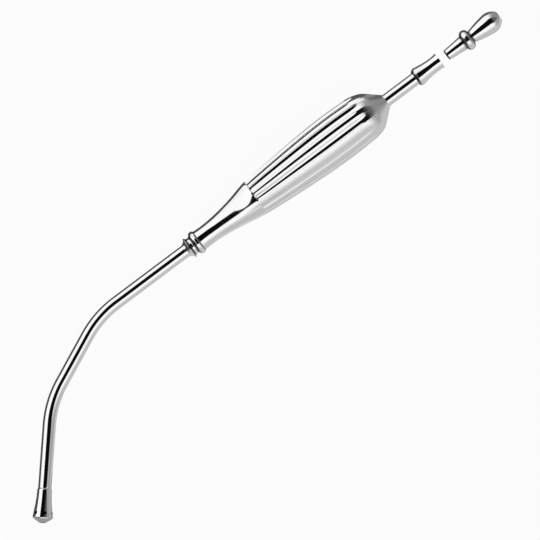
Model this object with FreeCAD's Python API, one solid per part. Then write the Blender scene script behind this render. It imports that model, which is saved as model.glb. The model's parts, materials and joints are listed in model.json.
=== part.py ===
import FreeCAD, Part
import math
import os

# Suction tube with a hollow fluted handle, a screw-on strainer tip and a plug-in hose connector.
# Lengths are in millimetres. The instrument is first drawn along its own axis, where +X runs
# from the handle to the hose, the arm bends towards -Y, and x = 0 is the front of the collar.
# At the end it is laid down on the surface that it rests on.

# Tube
tube_radius = 3.0
tube_wall = 0.9
collar_to_first_bend = 49.2
first_to_second_bend = 44.1
second_bend_to_tip_joint = 38.8
first_bend_angle = 24.5
second_bend_angle = 24.8
bend_radius = 46.0
spigot_step = 0.4
spigot_length = 4.6

# Clearances
braze_gap = 0.04
thread_gap = 0.05
taper_gap = 0.04
seat_gap = 0.1
tip_seat_gap = 0.03

# Strainer tip: places are measured from its joint with the tube, heights from the tube's surface
tip_length = 15.5
tip_bead_height = 0.45
tip_bead_length = 4.0
tip_waist_height = 0.42
tip_flare_at = 8.6
tip_flare_height = 0.95
tip_rim_at = 12.9
tip_rim_height = 1.65
tip_rim_rounding = 0.4
tip_dome_middle_at = 14.7
tip_dome_middle_height = 0.1
tip_wall = 0.8
tip_end_hole_radius = 1.05
tip_side_hole_radius = 0.78
tip_side_hole_at = 10.9
tip_side_holes = 6

# Front collar: places are measured from its front, heights from the tube's surface
collar_length = 4.7
collar_front_edge = 0.15
collar_front_mid_at = 1.3
collar_front_mid_height = 0.9
collar_flange_at = 2.1
collar_flange_height = 2.2
collar_flange_land = 0.2
collar_groove_at = 3.6
collar_groove_height = 1.12
collar_joint_height = 1.4
collar_spigot_wall = 0.76
collar_spigot_into_neck = 5.0

# Neck ring
ring_length = 3.0
ring_crest_at = 1.5
ring_crest_height = 2.7

# Handle body: places are measured from its front edge, heights of the neck from the tube's surface
body_length = 97.4
body_wall = 1.0
neck_front_height = 1.95
neck_waist_at = 3.0
neck_waist_height = 1.8
neck_mid_at = 10.5
neck_mid_height = 2.15
neck_swell_at = 18.5
neck_swell_radius = 6.2
shoulder_at = 28.0
shoulder_radius = 8.0
grip_front_at = 38.0
grip_front_radius = 9.2
grip_mid_radius = 10.78
grip_crest_to_end = 18.4
grip_crest_radius = 11.5
grip_rear_to_end = 7.9
grip_rear_radius = 11.0
body_rear_radius = 9.1

# Flutes of the grip: deep ones stand proud on its back, shallow ones run along its belly
flute_count = 22
back_flute_count = 13
back_flute_depth = 0.85
belly_flute_depth = 0.26
back_rise = 0.45
rise_start_at = 18.0
rise_full_at = 28.5
flute_start_at = 30.0
flute_full_at = 36.0
flute_fade_to_end = 7.4
flute_end_to_end = 1.4

# Spacing of the sections that the handle body is lofted through
neck_spacing = 3.75
ramp_spacing = 1.5
grip_spacing = 9.0

# End cone
cone_length = 7.6
cone_shoulder_at = 1.9
cone_shoulder_radius = 7.75
cone_shoulder_bulge = 0.12
cone_lip_height = 0.4
cone_lip_length = 0.35
cone_wall = 1.2
cone_register_length = 1.6

# Hose socket: places are measured from its front, heights from the tube's surface
cone_to_socket = 16.4
socket_length = 13.7
socket_front_height = 0.5
socket_bead_at = 1.4
socket_bead_height = 1.48
socket_bead_bulge = 0.04
socket_body_at = 4.7
socket_body_height = 0.96
socket_waist_at = 8.8
socket_waist_wall = 0.16
socket_mouth_wall = 0.47
tube_seat_depth = 3.6

# Hose connector, places measured from the end of its stem
connector_gap = 3.8
connector_length = 29.6
connector_bore_radius = 1.9
stem_wall = 0.6
stem_taper = 0.82
stem_length = 9.6
stem_rounding = 0.3
stem_shoulder = 0.1
connector_ring_at = 11.2
connector_ring_height = 1.58
connector_neck_at = 13.9
connector_neck_wall = 0.95
olive_flank_at = 17.8
olive_flank_radius = 3.83
olive_land_at = 23.7
olive_land_length = 1.2
olive_radius = 4.85
olive_nose_at = 28.0
olive_nose_radius = 3.75
olive_end_wall = 0.4

# Radii that follow the tube, from the tip to the handle's neck
tube_bore_radius = tube_radius - tube_wall
spigot_radius = tube_radius - spigot_step
tip_waist_radius = tube_radius + tip_waist_height
tip_rim_radius = tube_radius + tip_rim_height
tip_flare_radius = tube_radius + tip_flare_height
collar_joint_radius = tube_radius + collar_joint_height
collar_flange_radius = tube_radius + collar_flange_height
collar_spigot_radius = tube_radius + collar_spigot_wall
neck_bore_radius = collar_spigot_radius + braze_gap
neck_front_radius = tube_radius + neck_front_height
neck_mid_radius = tube_radius + neck_mid_height
cone_lip_radius = tube_radius + cone_lip_height
socket_bead_radius = tube_radius + socket_bead_height

# Radii that follow the connector's bore
stem_end_radius = connector_bore_radius + stem_wall
stem_root_radius = stem_end_radius + stem_taper
connector_neck_radius = connector_bore_radius + connector_neck_wall
olive_end_radius = connector_bore_radius + olive_end_wall
taper_mouth_radius = stem_root_radius + taper_gap

# Places along the axis, in order from the collar to the hose
ring_start = collar_length
body_start = ring_start + ring_length
cone_start = body_start + body_length
cone_end = cone_start + cone_length
socket_start = cone_end + cone_to_socket
socket_mouth = socket_start + socket_length
connector_start = socket_mouth + connector_gap
tube_rear_x = socket_start + tube_seat_depth

# Places along the handle body that keep their distance from its rear end
grip_crest_at = body_length - grip_crest_to_end
grip_mid_at = (grip_front_at + grip_crest_at) / 2
grip_rear_at = body_length - grip_rear_to_end
flute_fade_at = body_length - flute_fade_to_end
flute_end_at = body_length - flute_end_to_end

axis_x = FreeCAD.Vector(1, 0, 0)
axis_z = FreeCAD.Vector(0, 0, 1)
origin = FreeCAD.Vector(0, 0, 0)
touching = 1e-6
overrun = 1.0
halvings = 40
search_steps = 60
settling_rounds = 30


def at(x, radius):
    """A point of an outline: x along the axis, radius away from it."""
    return FreeCAD.Vector(x, 0, radius)


def line(start, end):
    return Part.LineSegment(start, end).toShape()


def arc(start, middle, end):
    return Part.Arc(start, middle, end).toShape()


def spline(points):
    curve = Part.BSplineCurve()
    curve.interpolate(points)
    return curve


def turned(edges):
    """A solid turned about the axis. Straight lines join the ends of the edges, given in order."""
    outline = []
    for index, edge in enumerate(edges):
        following = edges[(index + 1) % len(edges)]
        end = edge.valueAt(edge.LastParameter)
        start = following.valueAt(following.FirstParameter)
        outline.append(edge)
        if end.distanceToPoint(start) > touching:
            outline.append(line(end, start))
    return Part.Face(Part.Wire(outline)).revolve(origin, axis_x, 360)


# Centre line of the tube, from the socket to the end of the spigot that carries the tip
def heading(angle):
    turn = math.radians(angle)
    return FreeCAD.Vector(-math.cos(turn), -math.sin(turn), 0)


def bend(corner, way_in, way_out, angle):
    """The arc that rounds a corner of the centre line, as its start, middle and end."""
    half_turn = math.radians(angle) / 2
    tangent = bend_radius * math.tan(half_turn)
    reach = bend_radius / math.cos(half_turn) - bend_radius
    inward = (way_out - way_in).normalize()
    return corner - way_in * tangent, corner + inward * reach, corner + way_out * tangent


forward = heading(0)
middle_way = heading(first_bend_angle)
tip_way = heading(first_bend_angle + second_bend_angle)
tube_rear = FreeCAD.Vector(tube_rear_x, 0, 0)
first_corner = FreeCAD.Vector(-collar_to_first_bend, 0, 0)
second_corner = first_corner + middle_way * first_to_second_bend
tip_joint = second_corner + tip_way * second_bend_to_tip_joint
spigot_end = tip_joint + tip_way * spigot_length
first_bend = bend(first_corner, forward, middle_way, first_bend_angle)
second_bend = bend(second_corner, middle_way, tip_way, second_bend_angle)


def swept(radius, start, end):
    """A round bar along the centre line."""
    path = Part.Wire([
        line(start, first_bend[0]),
        arc(*first_bend),
        line(first_bend[2], second_bend[0]),
        arc(*second_bend),
        line(second_bend[2], end),
    ])
    ring = Part.Wire(Part.Circle(start, forward, radius).toShape())
    return path.makePipeShell([ring], True, False)


def make_suction_tube():
    outside = swept(tube_radius, tube_rear, tip_joint)
    spigot = Part.makeCylinder(spigot_radius, spigot_length, tip_joint, tip_way)
    bore_start = tube_rear - forward * overrun
    bore_end = spigot_end + tip_way * overrun
    return outside.fuse(spigot).cut(swept(tube_bore_radius, bore_start, bore_end))


# The strainer tip is drawn along +X from its joint and then set on the end of the tube
def make_strainer_tip():
    bore_radius = spigot_radius + thread_gap
    bore_end = spigot_length + seat_gap
    flare_points = [
        at(tip_bead_length, tip_waist_radius),
        at(tip_flare_at, tip_flare_radius),
        at(tip_rim_at, tip_rim_radius),
    ]
    dome = arc(
        at(tip_rim_at + tip_rim_rounding, tip_rim_radius - tip_rim_rounding / 2),
        at(tip_dome_middle_at, tube_radius + tip_dome_middle_height),
        at(tip_length, tip_end_hole_radius),
    )
    bead_top = at(tip_bead_length / 2, tube_radius + tip_bead_height)
    bead = arc(at(0, tube_radius), bead_top, flare_points[0])
    chamber = spline([
        at(tip_rim_at, tip_rim_radius - tip_wall),
        at(tip_flare_at, tip_flare_radius - tip_wall),
        at(bore_end, tube_bore_radius),
    ])
    roof = line(at(tip_length - tip_wall, tip_end_hole_radius), chamber.value(0))
    bore = line(at(bore_end, bore_radius), at(0, bore_radius))
    tip = turned([bead, spline(flare_points).toShape(), dome, roof, chamber.toShape(), bore])
    for number in range(tip_side_holes):
        hole = Part.makeCylinder(tip_side_hole_radius, tip_rim_radius, at(tip_side_hole_at, 0))
        hole.rotate(origin, axis_x, 360 / tip_side_holes * number)
        tip = tip.cut(hole)
    seat = tip_joint + tip_way * tip_seat_gap
    tip.Placement = FreeCAD.Placement(seat, FreeCAD.Rotation(axis_x, tip_way))
    return tip


def make_front_collar():
    """A ferrule: it slides on the tube, and its spigot centres the neck of the handle."""
    bore_radius = tube_radius + braze_gap
    spigot_finish = body_start + collar_spigot_into_neck
    face = spline([
        at(0, bore_radius + collar_front_edge),
        at(collar_front_mid_at, tube_radius + collar_front_mid_height),
        at(collar_flange_at, collar_flange_radius),
    ])
    groove = arc(
        at(collar_flange_at + collar_flange_land, collar_flange_radius),
        at(collar_groove_at, tube_radius + collar_groove_height),
        at(collar_length, collar_joint_radius),
    )
    spigot_start = at(collar_length, collar_spigot_radius)
    outside = line(spigot_start, at(spigot_finish, collar_spigot_radius))
    bore = line(at(spigot_finish, bore_radius), at(0, bore_radius))
    return turned([face.toShape(), groove, outside, bore])


def make_neck_ring():
    crest = arc(
        at(ring_start, collar_joint_radius),
        at(ring_start + ring_crest_at, tube_radius + ring_crest_height),
        at(body_start, neck_front_radius),
    )
    bore = line(at(body_start, neck_bore_radius), at(ring_start, neck_bore_radius))
    return turned([crest, bore])


# Outline of the handle body along its belly, where nothing stands proud
belly = spline([
    at(0, neck_front_radius),
    at(neck_waist_at, tube_radius + neck_waist_height),
    at(neck_mid_at, neck_mid_radius),
    at(neck_swell_at, neck_swell_radius),
    at(shoulder_at, shoulder_radius),
    at(grip_front_at, grip_front_radius),
    at(grip_mid_at, grip_mid_radius),
    at(grip_crest_at, grip_crest_radius),
    at(grip_rear_at, grip_rear_radius),
    at(body_length, body_rear_radius),
])


def belly_radius(x):
    """Radius of the belly outline at x, found by halving the curve's own parameter."""
    low = belly.FirstParameter
    high = belly.LastParameter
    for _ in range(halvings):
        middle = (low + high) / 2
        if belly.value(middle).x < x:
            low = middle
        else:
            high = middle
    return belly.value(low).z


def ramp(x, start, end):
    """Grows smoothly from 0 at start to 1 at end."""
    share = min(max((x - start) / (end - start), 0), 1)
    return share * share * (3 - 2 * share)


# Flutes are numbered from the one just below the top edge, up over the back and round the belly.
# Their ridges stand at whole steps of the pitch, so that the two sides of the grip are alike.
pitch = 2 * math.pi / flute_count
first_ridge = math.pi / 2 - back_flute_count * pitch / 2


def is_back(number):
    return number % flute_count < back_flute_count


def is_border(number):
    """The plain land between the back and the belly."""
    return number % flute_count in (back_flute_count, flute_count - 1)


def around(x, radius, angle):
    """A point of a section: the angle is taken from the top towards +Y."""
    return FreeCAD.Vector(x, radius * math.sin(angle), radius * math.cos(angle))


def ridge_radius(x, number):
    """Radius of the ridge in front of a flute. Ridges beside a back flute stand proud."""
    beside_back = is_back(number) or is_back(number - 1)
    rise = ramp(x, rise_start_at, rise_full_at) * (1 - ramp(x, flute_fade_at, body_length))
    return belly_radius(x) + (back_rise * rise if beside_back else 0)


def flute_depth(x, number):
    fullness = ramp(x, flute_start_at, flute_full_at) * (1 - ramp(x, flute_fade_at, flute_end_at))
    if is_border(number):
        return 0
    return fullness * (back_flute_depth if is_back(number) else belly_flute_depth)


def section(x):
    """The outline of the handle body across its axis, one arc for each flute."""
    arcs = []
    for number in range(flute_count):
        angle = first_ridge + number * pitch
        start = ridge_radius(x, number)
        end = ridge_radius(x, number + 1)
        middle = (start + end) / 2 - flute_depth(x, number)
        arcs.append(arc(
            around(x, start, angle),
            around(x, middle, angle + pitch / 2),
            around(x, end, angle + pitch),
        ))
    return Part.Wire(arcs)


def steps(start, end, count):
    return [start + (end - start) * number / count for number in range(count)]


def stations(start, end, spacing):
    return steps(start, end, math.ceil((end - start) / spacing))


def make_handle_body():
    neck = stations(0, neck_mid_at, neck_spacing)
    neck += stations(neck_mid_at, rise_start_at, neck_spacing)
    neck += stations(rise_start_at, flute_start_at, neck_spacing)
    grip = stations(flute_start_at, flute_full_at, ramp_spacing)
    grip += stations(flute_full_at, grip_crest_at, grip_spacing)
    grip += stations(grip_crest_at, flute_fade_at, grip_spacing)
    rear = stations(flute_fade_at, flute_end_at, ramp_spacing) + [flute_end_at, body_length]
    outside = Part.makeLoft([section(x) for x in neck + grip + rear], True, False)
    spigot_finish = collar_spigot_into_neck + seat_gap
    seat_start = body_length - cone_register_length - seat_gap
    seat_radius = body_rear_radius - body_wall
    cavity_wall = spline([
        at(spigot_finish, neck_bore_radius),
        at(neck_mid_at, neck_mid_radius - body_wall),
        at(neck_swell_at, neck_swell_radius - body_wall),
        at(shoulder_at, shoulder_radius - body_wall),
        at(grip_front_at, grip_front_radius - body_wall),
        at(grip_mid_at, grip_mid_radius - body_wall),
        at(grip_crest_at, grip_crest_radius - body_wall),
        at(grip_rear_at, grip_rear_radius - body_wall),
        at(seat_start, seat_radius),
    ])
    neck_bore = line(at(-overrun, neck_bore_radius), at(spigot_finish, neck_bore_radius))
    seat = line(at(seat_start, seat_radius), at(body_length + overrun, seat_radius))
    centre = line(at(body_length + overrun, 0), at(-overrun, 0))
    cavity = turned([neck_bore, cavity_wall.toShape(), seat, centre])
    body = outside.cut(cavity)
    body.translate(axis_x * body_start)
    return body


def make_end_cone():
    bore_radius = tube_radius + braze_gap
    register_radius = body_rear_radius - body_wall - braze_gap
    lip_start = cone_length - cone_lip_length
    shoulder_middle = (body_rear_radius + cone_shoulder_radius) / 2
    shoulder = arc(
        at(0, body_rear_radius),
        at(cone_shoulder_at / 2, shoulder_middle + cone_shoulder_bulge),
        at(cone_shoulder_at, cone_shoulder_radius),
    )
    flank = line(at(cone_shoulder_at, cone_shoulder_radius), at(lip_start, cone_lip_radius))
    lip = line(at(cone_length, cone_lip_radius), at(cone_length, bore_radius))
    inner_end = at(lip_start - cone_wall, bore_radius)
    inner_flank = line(inner_end, at(0, register_radius - cone_wall))
    register = line(
        at(-cone_register_length, register_radius - cone_wall),
        at(-cone_register_length, register_radius),
    )
    seat = line(at(0, register_radius), at(0, body_rear_radius))
    cone = turned([shoulder, flank, lip, inner_flank, register, seat])
    cone.translate(axis_x * cone_start)
    return cone


def make_hose_socket():
    """Brazed on the tube's rear end, with a taper bore that takes the connector's stem."""
    narrowing = (stem_root_radius - stem_end_radius) / stem_length
    taper_depth = stem_length + seat_gap
    taper_end = taper_mouth_radius - narrowing * taper_depth
    seat_radius = tube_radius + braze_gap
    front_radius = tube_radius + socket_front_height
    bead_middle = (front_radius + socket_bead_radius) / 2
    bead = spline([
        at(0, front_radius),
        at(socket_bead_at / 2, bead_middle + socket_bead_bulge),
        at(socket_bead_at, socket_bead_radius),
    ])
    outside = spline([
        at(socket_bead_at, socket_bead_radius),
        at(socket_body_at, tube_radius + socket_body_height),
        at(socket_waist_at, taper_mouth_radius + socket_waist_wall),
        at(socket_length, taper_mouth_radius + socket_mouth_wall),
    ])
    taper = line(
        at(socket_length, taper_mouth_radius),
        at(socket_length - taper_depth, taper_end),
    )
    web = line(
        at(socket_length - taper_depth, tube_bore_radius),
        at(tube_seat_depth, tube_bore_radius),
    )
    seat = line(at(tube_seat_depth, seat_radius), at(0, seat_radius))
    socket = turned([bead.toShape(), outside.toShape(), taper, web, seat])
    socket.translate(axis_x * socket_start)
    return socket


def make_hose_connector():
    stem = line(at(stem_rounding, stem_end_radius), at(stem_length, stem_root_radius))
    ring = arc(
        at(stem_length, stem_root_radius + stem_shoulder),
        at(connector_ring_at, stem_root_radius + connector_ring_height),
        at(connector_neck_at, connector_neck_radius),
    )
    olive_rear = olive_land_at + olive_land_length
    flank = spline([
        at(connector_neck_at, connector_neck_radius),
        at(olive_flank_at, olive_flank_radius),
        at(olive_land_at, olive_radius),
    ])
    nose = spline([
        at(olive_rear, olive_radius),
        at(olive_nose_at, olive_nose_radius),
        at(connector_length, olive_end_radius),
    ])
    end = line(at(connector_length, connector_bore_radius), at(0, connector_bore_radius))
    stem_edge = line(at(0, stem_end_radius - stem_rounding), at(stem_rounding, stem_end_radius))
    connector = turned([stem_edge, stem, ring, flank.toShape(), nose.toShape(), end])
    connector.translate(axis_x * connector_start)
    return connector


# The instrument lies on a ridge of the grip, on a bend of the tube and on the tip's rim.
# The way up stands square on the plane through the lowest points of these three.
def lowest_of_grip(up):
    points = []
    for x in steps(grip_front_at, grip_rear_at, search_steps):
        for number in range(flute_count):
            angle = first_ridge + number * pitch
            points.append(around(body_start + x, ridge_radius(x, number), angle))
    return min(points, key=lambda point: point.dot(up))


def lowest_of_ring(centre, normal, radius, up):
    across = up - normal * normal.dot(up)
    return centre - across.normalize() * radius


def lowest_of_tube(up):
    points = []
    for corner in (first_bend, second_bend):
        edge = arc(*corner)
        for parameter in steps(edge.FirstParameter, edge.LastParameter, search_steps):
            way = edge.tangentAt(parameter)
            points.append(lowest_of_ring(edge.valueAt(parameter), way, tube_radius, up))
    return min(points, key=lambda point: point.dot(up))


def resting_up():
    rim_centre = tip_joint + tip_way * (tip_seat_gap + tip_rim_at)
    up = axis_z
    for _ in range(settling_rounds):
        grip = lowest_of_grip(up)
        tube = lowest_of_tube(up)
        rim = lowest_of_ring(rim_centre, tip_way, tip_rim_radius, up)
        up = (rim - grip).cross(tube - grip).normalize()
        if up.z < 0:
            up = up * -1
    return up, grip


def laid_down(shapes):
    """Turns the pieces to rest on z = 0, with the origin under the middle of them all."""
    up, grip = resting_up()
    along = (axis_x - up * axis_x.dot(up)).normalize()
    turn = FreeCAD.Rotation(along, up.cross(along), up, "ZXY").inverted()
    placement = FreeCAD.Placement(origin, turn)
    turned_shapes = {name: shape.transformGeometry(placement.toMatrix()) for name, shape in shapes.items()}
    box = Part.makeCompound(list(turned_shapes.values())).optimalBoundingBox(False, False)
    floor = turn.multVec(grip).z
    shift = FreeCAD.Vector(-(box.XMin + box.XMax) / 2, -(box.YMin + box.YMax) / 2, -floor)
    return FreeCAD.Placement(shift, turn)


pieces = {
    "suction_tube": make_suction_tube(),
    "strainer_tip": make_strainer_tip(),
    "front_collar": make_front_collar(),
    "neck_ring": make_neck_ring(),
    "handle_body": make_handle_body(),
    "end_cone": make_end_cone(),
    "hose_socket": make_hose_socket(),
    "hose_connector": make_hose_connector(),
}

resting_place = laid_down(pieces)
os.makedirs("parts", exist_ok=True)
for name, shape in pieces.items():
    shape.Placement = resting_place.multiply(shape.Placement)
    shape.exportStep(f"parts/{name}.step")
    print(name, "valid", shape.isValid(), "volume", round(shape.Volume, 1))
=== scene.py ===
import json
import math

import bpy
import numpy as np
from mathutils import Matrix, Vector


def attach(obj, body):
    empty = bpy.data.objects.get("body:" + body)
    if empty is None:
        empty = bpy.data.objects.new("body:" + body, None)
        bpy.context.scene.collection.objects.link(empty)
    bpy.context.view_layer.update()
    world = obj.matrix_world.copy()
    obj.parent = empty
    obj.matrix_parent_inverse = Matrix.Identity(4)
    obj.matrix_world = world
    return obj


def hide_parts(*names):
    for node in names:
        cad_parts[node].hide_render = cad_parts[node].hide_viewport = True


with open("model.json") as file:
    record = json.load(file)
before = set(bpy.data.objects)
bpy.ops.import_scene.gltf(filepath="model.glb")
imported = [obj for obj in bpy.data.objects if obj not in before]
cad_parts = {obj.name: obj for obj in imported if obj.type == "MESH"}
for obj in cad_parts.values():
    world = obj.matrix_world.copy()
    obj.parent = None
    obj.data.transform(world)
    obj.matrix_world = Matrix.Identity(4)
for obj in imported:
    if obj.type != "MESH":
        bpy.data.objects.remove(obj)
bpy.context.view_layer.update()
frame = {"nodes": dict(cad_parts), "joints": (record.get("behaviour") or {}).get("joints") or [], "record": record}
scene = bpy.context.scene
print("frame loaded:", ", ".join(sorted(frame["nodes"])))

# The instrument is drawn in millimetres along its own axis: x runs from the handle to the hose,
# the arm bends towards -y, and x = 0 is the front of the collar. The joints and the mount of the
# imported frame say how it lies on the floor.
oliveMiddle = 170.9  # from the front of the collar to the middle of the olive's land


def readLie():
    ways = {joint["name"]: Vector(joint["axis"]).normalized() for joint in frame["joints"]}
    along, tipWay = ways["connector_plug"], ways["tip_unscrew"]
    across = -(tipWay - along * tipWay.dot(along)).normalized()
    olive = next(mount for mount in frame["record"]["mounts"] if mount["name"] == "hose_olive")
    start = Vector(olive["pos_m"]) - along * oliveMiddle / 1000
    return Matrix((along, across, along.cross(across))).transposed(), start


lieTurn, lieStart = readLie()
toFloor = Matrix.Translation(lieStart) @ lieTurn.to_4x4() @ Matrix.Scale(0.001, 4)


# Outlines: lists of (place along the axis, radius), where points nearer than onePoint count as one
outlineRules = {"onePoint": 1e-4, "roundPoints": 7}
# Surfaces that face the axis are marked as inner ones for painted shade, and a spot of painted shade fades out at
# its rim
paintedShadeRules = {"slopeGain": 3, "slopeStart": 0.5, "spotGain": 8}


def straight(start, end, spacing=None):
    count = 2 if spacing is None else max(2, math.ceil(math.dist(start, end) / spacing) + 1)
    return [tuple(point) for point in np.linspace(start, end, count)]


def arcThrough(start, middle, end, count=28):
    (ax, ay), (bx, by), (cx, cy) = start, middle, end
    twice = 2 * (ax * (by - cy) + bx * (cy - ay) + cx * (ay - by))
    a2, b2, c2 = ax * ax + ay * ay, bx * bx + by * by, cx * cx + cy * cy
    ox = (a2 * (by - cy) + b2 * (cy - ay) + c2 * (ay - by)) / twice
    oy = (a2 * (cx - bx) + b2 * (ax - cx) + c2 * (bx - ax)) / twice
    radius = math.hypot(ax - ox, ay - oy)
    first, mid, last = (math.atan2(y - oy, x - ox) for x, y in (start, middle, end))
    toMid, toEnd = (mid - first) % math.tau, (last - first) % math.tau
    sweep = toEnd if toMid <= toEnd else toEnd - math.tau
    angles = [first + sweep * i / (count - 1) for i in range(count)]
    return [(ox + radius * math.cos(a), oy + radius * math.sin(a)) for a in angles]


def smoothThrough(points, count=28):
    points = np.array(points, float)
    steps = np.linalg.norm(np.diff(points, axis=0), axis=1)
    knots = np.concatenate([[0], np.cumsum(steps)])
    size, near = len(points), min(len(points), 4)
    table, goal = np.zeros((size, size)), np.zeros((size, 2))
    table[0, 0] = table[-1, -1] = 1
    for row, take in ((0, slice(0, near)), (-1, slice(size - near, size))):
        for axis in range(2):
            fit = np.polyfit(knots[take], points[take, axis], near - 1)
            goal[row, axis] = np.polyval(np.polyder(fit), knots[row])
    for i in range(1, size - 1):
        before, after = steps[i - 1], steps[i]
        table[i, i - 1:i + 2] = after, 2 * (before + after), before
        rise, fall = points[i] - points[i - 1], points[i + 1] - points[i]
        goal[i] = 3 * (after * rise / before + before * fall / after)
    slopes = np.linalg.solve(table, goal)
    where = np.linspace(0, knots[-1], count)
    span = np.clip(np.searchsorted(knots, where, side="right") - 1, 0, size - 2)
    width = steps[span][:, None]
    s = (where - knots[span])[:, None] / width
    curve = (2 * s**3 - 3 * s**2 + 1) * points[span] + (3 * s**2 - 2 * s**3) * points[span + 1]
    curve += width * ((s**3 - 2 * s**2 + s) * slopes[span] + (s**3 - s**2) * slopes[span + 1])
    return [tuple(point) for point in curve]


def joined(*runs):
    points = []
    for run in runs:
        points += [p for p in run if not points or math.dist(p, points[-1]) > outlineRules["onePoint"]]
    return points[:-1] if math.dist(points[0], points[-1]) < outlineRules["onePoint"] else points


def walkFrom(points, index, step, reach):
    # The point at a distance along a closed outline, and the points passed on the way
    passed, left, here = [], reach, np.array(points[index])
    while True:
        index = (index + step) % len(points)
        there = np.array(points[index])
        length = np.linalg.norm(there - here)
        if length > left:
            return tuple(here + (there - here) * left / length), passed
        left -= length
        passed.append(index)
        here = there


def softened(points, reach, sharpest=24):
    # Every corner of a closed outline is rounded over its own reach, as polishing leaves it
    count = len(points)
    corners = []
    for i in range(count):
        before = np.array(points[i]) - points[i - 1]
        after = np.array(points[(i + 1) % count]) - points[i]
        cosine = before @ after / np.linalg.norm(before) / np.linalg.norm(after)
        if math.degrees(math.acos(max(-1, min(1, cosine)))) > sharpest:
            corners.append(i)
    dropped, rounds = set(), {}
    for i in corners:
        start, behind = walkFrom(points, i, -1, reach)
        end, ahead = walkFrom(points, i, 1, reach)
        dropped.update(behind + ahead)
        rounds[i] = [
            tuple((1 - t)**2 * np.array(start) + 2 * t * (1 - t) * np.array(points[i]) + t * t * np.array(end))
            for t in np.linspace(0, 1, outlineRules["roundPoints"])
        ]
    made, edge = [], []
    for i in range(count):
        if i in rounds:
            made += rounds[i]
            edge += [1.0] * len(rounds[i])
        elif i not in dropped:
            made.append(points[i])
            edge.append(0.0)
    single = [i for i in range(len(made)) if math.dist(made[i], made[i - 1]) > outlineRules["onePoint"]]
    return [made[i] for i in single], [edge[i] for i in single]


def turnedMesh(name, points, edge, angles, paintedShadeSpot=None):
    # A closed outline turned about x; angles run from the top (+z) towards +y
    points = np.array(points, float)
    rows, columns = len(points), len(angles)
    x = np.repeat(points[:, 0], columns)
    r = np.repeat(points[:, 1], columns)
    a = np.tile(angles, rows)
    places = np.stack([x, r * np.sin(a), r * np.cos(a)], axis=1)
    row, column = np.meshgrid(np.arange(rows), np.arange(columns), indexing="ij")
    nextRow, nextColumn = (row + 1) % rows, (column + 1) % columns
    faces = np.stack([
        row * columns + column, nextRow * columns + column,
        nextRow * columns + nextColumn, row * columns + nextColumn,
    ], axis=-1).reshape(-1, 4)
    area = np.sum(points[:, 0] * np.roll(points[:, 1], -1) - np.roll(points[:, 0], -1) * points[:, 1])
    if area > 0:
        faces = faces[:, ::-1]
    mesh = bpy.data.meshes.new(name)
    mesh.from_pydata(places.tolist(), [], faces.tolist())
    # Bores and chambers are marked, so that painted shade darkens them
    ahead = np.roll(points, -1, axis=0) - np.roll(points, 1, axis=0)
    outwards = -ahead[:, 0] * np.sign(area) / np.linalg.norm(ahead, axis=1)
    inner = np.clip(-outwards * paintedShadeRules["slopeGain"] - paintedShadeRules["slopeStart"], 0, 1)
    # A round spot of painted shade, full inside and fading out at its rim
    if paintedShadeSpot:
        place, reach = paintedShadeSpot
        inside = reach - np.linalg.norm(points - place, axis=1)
        inner = np.maximum(inner, np.clip(inside * paintedShadeRules["spotGain"], 0, 1))
    for label, marks in (("edge", edge), ("inner", inner)):
        attribute = mesh.attributes.new(label, "FLOAT", "POINT")
        attribute.data.foreach_set("value", np.repeat(np.array(marks, np.float32), columns))
    mesh.validate()
    return mesh


def evenAngles(count):
    return np.arange(count) * math.tau / count


def movePoints(mesh, change):
    places = np.zeros(len(mesh.vertices) * 3, np.float64)
    mesh.vertices.foreach_get("co", places)
    mesh.vertices.foreach_set("co", change(places.reshape(-1, 3)).astype(np.float32).ravel())
    mesh.update()


def newObject(name, mesh):
    piece = bpy.data.objects.new(name, mesh)
    scene.collection.objects.link(piece)
    return piece


def turnedPiece(name, outline, sizes, start=0.0):
    # A closed outline with its corners rounded, turned about the axis and moved along it
    points, edge = softened(outline, sizes["corner"])
    mesh = turnedMesh(name, points, edge, evenAngles(sizes["columns"]))
    mesh.transform(Matrix.Translation((start, 0, 0)))
    return newObject(name, mesh)


def finishPiece(piece, material, node, body, sharpAngle=38):
    # Set the finished shape down on the floor, with its place in its mesh
    mesh = piece.data
    mesh.transform(toFloor)
    mesh.shade_smooth()
    mesh.set_sharp_from_angle(angle=math.radians(sharpAngle))
    mesh.materials.clear()
    mesh.materials.append(material)
    mesh.update()
    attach(piece, body)
    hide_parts(node)
    print(f"{piece.name}: {sum(len(f.vertices) - 2 for f in mesh.polygons)} triangles")
    return piece


# Node trees
def setOrLink(tree, socket, value):
    if isinstance(value, bpy.types.NodeSocket):
        tree.links.new(value, socket)
    elif value is not None:
        socket.default_value = value


def addNode(tree, kind, inputs=None, **settings):
    node = tree.nodes.new(kind)
    for key, value in settings.items():
        setattr(node, key, value)
    for key, value in (inputs or {}).items():
        setOrLink(tree, node.inputs[key], value)
    return node


def calc(tree, operation, *values):
    node = addNode(tree, "ShaderNodeMath", operation=operation)
    for socket, value in zip(node.inputs, values):
        setOrLink(tree, socket, value)
    return node.outputs[0]


def rampOf(tree, value, start, end, low=0.0, high=1.0):
    inputs = {"Value": value, "From Min": start, "From Max": end, "To Min": low, "To Max": high}
    return addNode(tree, "ShaderNodeMapRange", inputs, interpolation_type="SMOOTHSTEP").outputs[0]


def scaled(tree, vector, share):
    return addNode(tree, "ShaderNodeVectorMath", {0: vector, "Scale": share}, operation="SCALE").outputs[0]


def colourBlend(tree, share, first, second):
    # The sockets of a colour mix: 0 is the share, 6 and 7 are the colours
    return addNode(tree, "ShaderNodeMix", {0: share, 6: first, 7: second}, data_type="RGBA").outputs[2]


def clearMaterial(name):
    material = bpy.data.materials.new(name)
    material.use_nodes = True
    material.node_tree.nodes.clear()
    return material, material.node_tree


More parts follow.
